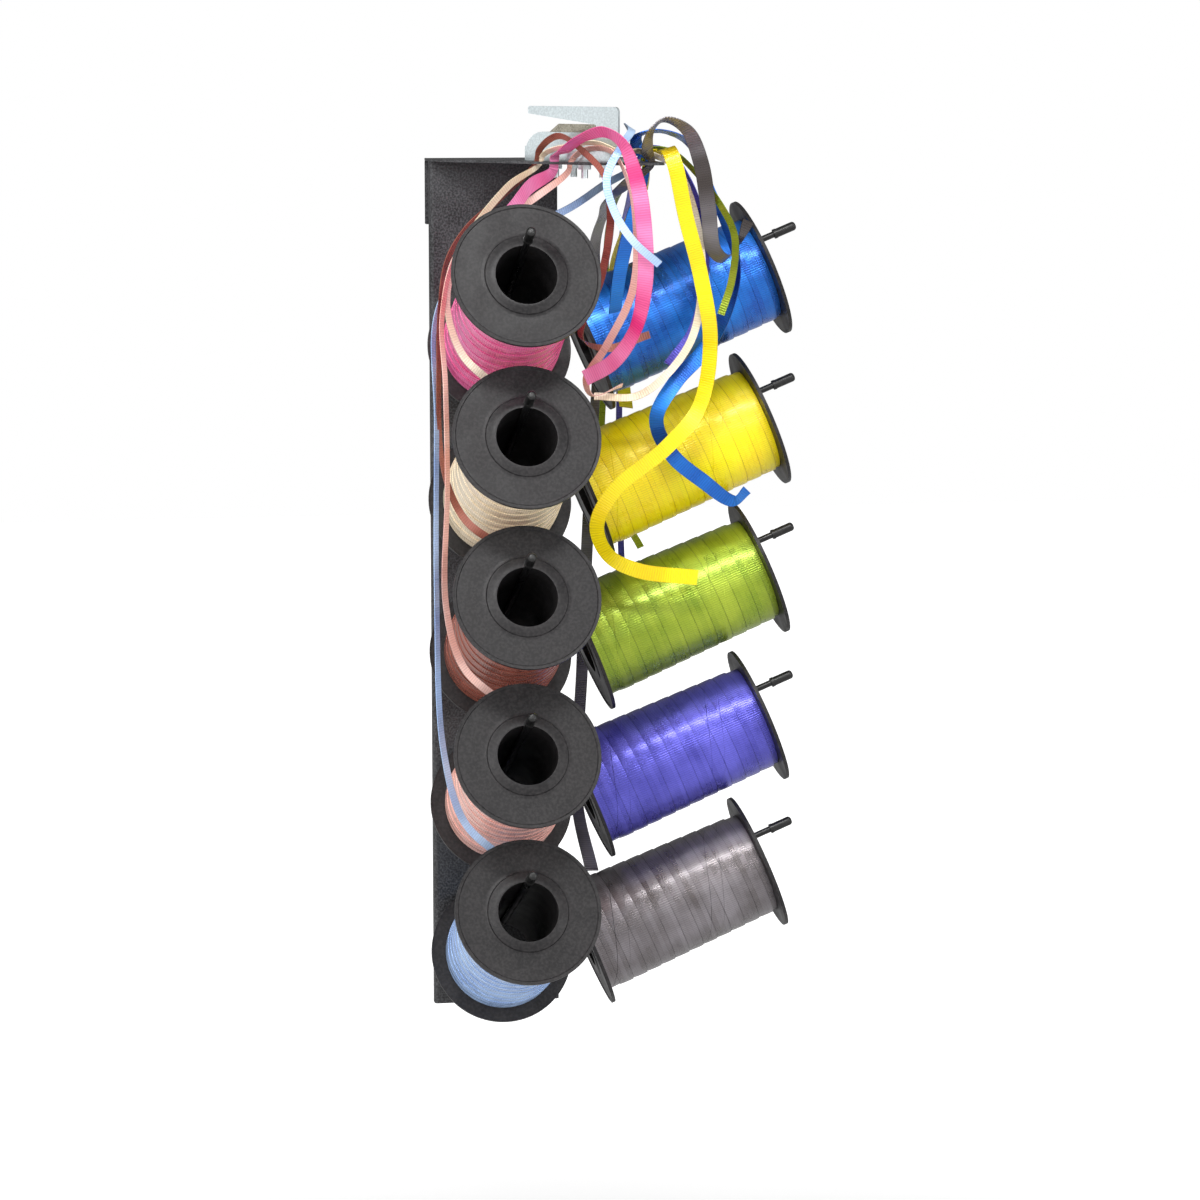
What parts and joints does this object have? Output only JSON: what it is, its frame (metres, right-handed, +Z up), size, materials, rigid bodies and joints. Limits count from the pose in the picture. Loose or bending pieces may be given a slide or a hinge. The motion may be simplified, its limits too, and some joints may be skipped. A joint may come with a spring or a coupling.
{
  "type": "ribbon spool dispenser",
  "caption": "Hanging steel rack with two columns of tilted rods carrying free-turning ribbon spools, a guide plate with holes on top and a slot cutter for ribbon",
  "frame": {"origin": "centre of the hook seat: the underside of the guide plate, midway across the post's front face, on the middle plane of its depth", "axes": "+X right along the front face, the way the side rods point; +Y back towards what it hangs on; -Y the way the front rods point; +Z up, -Z the normal of the hook seat"},
  "size_m": [0.2468, 0.2249, 0.5725],
  "materials": {
    "black_powder_coat": "fine-textured black powder coat",
    "black_rod": "smooth black coating on steel rod",
    "black_vinyl": "soft black vinyl cap",
    "black_plastic": "satin moulded plastic",
    "zinc_plate": "zinc-plated steel",
    "blade_steel": "ground cutting blade",
    "ribbon_hot_pink": "satin ribbed curling ribbon",
    "ribbon_ivory": "satin ribbed curling ribbon",
    "ribbon_terracotta": "satin ribbed curling ribbon",
    "ribbon_peach": "satin ribbed curling ribbon",
    "ribbon_light_blue": "satin ribbed curling ribbon",
    "ribbon_royal_blue": "satin ribbed curling ribbon",
    "ribbon_yellow": "satin ribbed curling ribbon",
    "ribbon_lime_green": "satin ribbed curling ribbon",
    "ribbon_violet": "satin ribbed curling ribbon",
    "ribbon_grey": "satin ribbed curling ribbon"
  },
  "bodies": {
    "rack": {"post_channel": "black_powder_coat", "guide_plate": "black_powder_coat", "cutter_bracket": "zinc_plate", "cutter_blade": "blade_steel", "cutter_screws": "zinc_plate", "cutter_nuts": "zinc_plate", "front_rod_1": "black_rod", "front_rod_2": "black_rod", "front_rod_3": "black_rod", "front_rod_4": "black_rod", "front_rod_5": "black_rod", "side_rod_1": "black_rod", "side_rod_2": "black_rod", "side_rod_3": "black_rod", "side_rod_4": "black_rod", "side_rod_5": "black_rod", "front_cap_1": "black_vinyl", "front_cap_2": "black_vinyl", "front_cap_3": "black_vinyl", "front_cap_4": "black_vinyl", "front_cap_5": "black_vinyl", "side_cap_1": "black_vinyl", "side_cap_2": "black_vinyl", "side_cap_3": "black_vinyl", "side_cap_4": "black_vinyl", "side_cap_5": "black_vinyl", "hot_pink_ribbon": "ribbon_hot_pink", "ivory_ribbon": "ribbon_ivory", "terracotta_ribbon": "ribbon_terracotta", "peach_ribbon": "ribbon_peach", "light_blue_ribbon": "ribbon_light_blue", "royal_blue_ribbon": "ribbon_royal_blue", "yellow_ribbon": "ribbon_yellow", "lime_green_ribbon": "ribbon_lime_green", "violet_ribbon": "ribbon_violet", "grey_ribbon": "ribbon_grey"},
    "front_spool_1_body": {"front_spool_1": "black_plastic", "front_winding_1": "ribbon_hot_pink"},
    "front_spool_2_body": {"front_spool_2": "black_plastic", "front_winding_2": "ribbon_ivory"},
    "front_spool_3_body": {"front_spool_3": "black_plastic", "front_winding_3": "ribbon_terracotta"},
    "front_spool_4_body": {"front_spool_4": "black_plastic", "front_winding_4": "ribbon_peach"},
    "front_spool_5_body": {"front_spool_5": "black_plastic", "front_winding_5": "ribbon_light_blue"},
    "side_spool_1_body": {"side_spool_1": "black_plastic", "side_winding_1": "ribbon_royal_blue"},
    "side_spool_2_body": {"side_spool_2": "black_plastic", "side_winding_2": "ribbon_yellow"},
    "side_spool_3_body": {"side_spool_3": "black_plastic", "side_winding_3": "ribbon_lime_green"},
    "side_spool_4_body": {"side_spool_4": "black_plastic", "side_winding_4": "ribbon_violet"},
    "side_spool_5_body": {"side_spool_5": "black_plastic", "side_winding_5": "ribbon_grey"}
  },
  "joints": [
    {"name": "front_spool_1_spin", "type": "hinge", "parent": "rack", "child": "front_spool_1_body", "pos_m": [0, -0.08828, -0.0881], "axis": [0, -0.91, 0.4147], "continuous": true},
    {"name": "front_spool_2_spin", "type": "hinge", "parent": "rack", "child": "front_spool_2_body", "pos_m": [0, -0.08828, -0.1836], "axis": [0, -0.91, 0.4147], "continuous": true},
    {"name": "front_spool_3_spin", "type": "hinge", "parent": "rack", "child": "front_spool_3_body", "pos_m": [0, -0.08828, -0.2791], "axis": [0, -0.91, 0.4147], "continuous": true},
    {"name": "front_spool_4_spin", "type": "hinge", "parent": "rack", "child": "front_spool_4_body", "pos_m": [0, -0.08828, -0.3746], "axis": [0, -0.91, 0.4147], "continuous": true},
    {"name": "front_spool_5_spin", "type": "hinge", "parent": "rack", "child": "front_spool_5_body", "pos_m": [0, -0.08828, -0.4701], "axis": [0, -0.91, 0.4147], "continuous": true},
    {"name": "side_spool_1_spin", "type": "hinge", "parent": "rack", "child": "side_spool_1_body", "pos_m": [0.11523, 0, -0.09121], "axis": [0.9239, 0, 0.3827], "continuous": true},
    {"name": "side_spool_2_spin", "type": "hinge", "parent": "rack", "child": "side_spool_2_body", "pos_m": [0.11523, 0, -0.18671], "axis": [0.9239, 0, 0.3827], "continuous": true},
    {"name": "side_spool_3_spin", "type": "hinge", "parent": "rack", "child": "side_spool_3_body", "pos_m": [0.11523, 0, -0.28221], "axis": [0.9239, 0, 0.3827], "continuous": true},
    {"name": "side_spool_4_spin", "type": "hinge", "parent": "rack", "child": "side_spool_4_body", "pos_m": [0.11523, 0, -0.37771], "axis": [0.9239, 0, 0.3827], "continuous": true},
    {"name": "side_spool_5_spin", "type": "hinge", "parent": "rack", "child": "side_spool_5_body", "pos_m": [0.11523, 0, -0.47321], "axis": [0.9239, 0, 0.3827], "continuous": true}
  ]
}
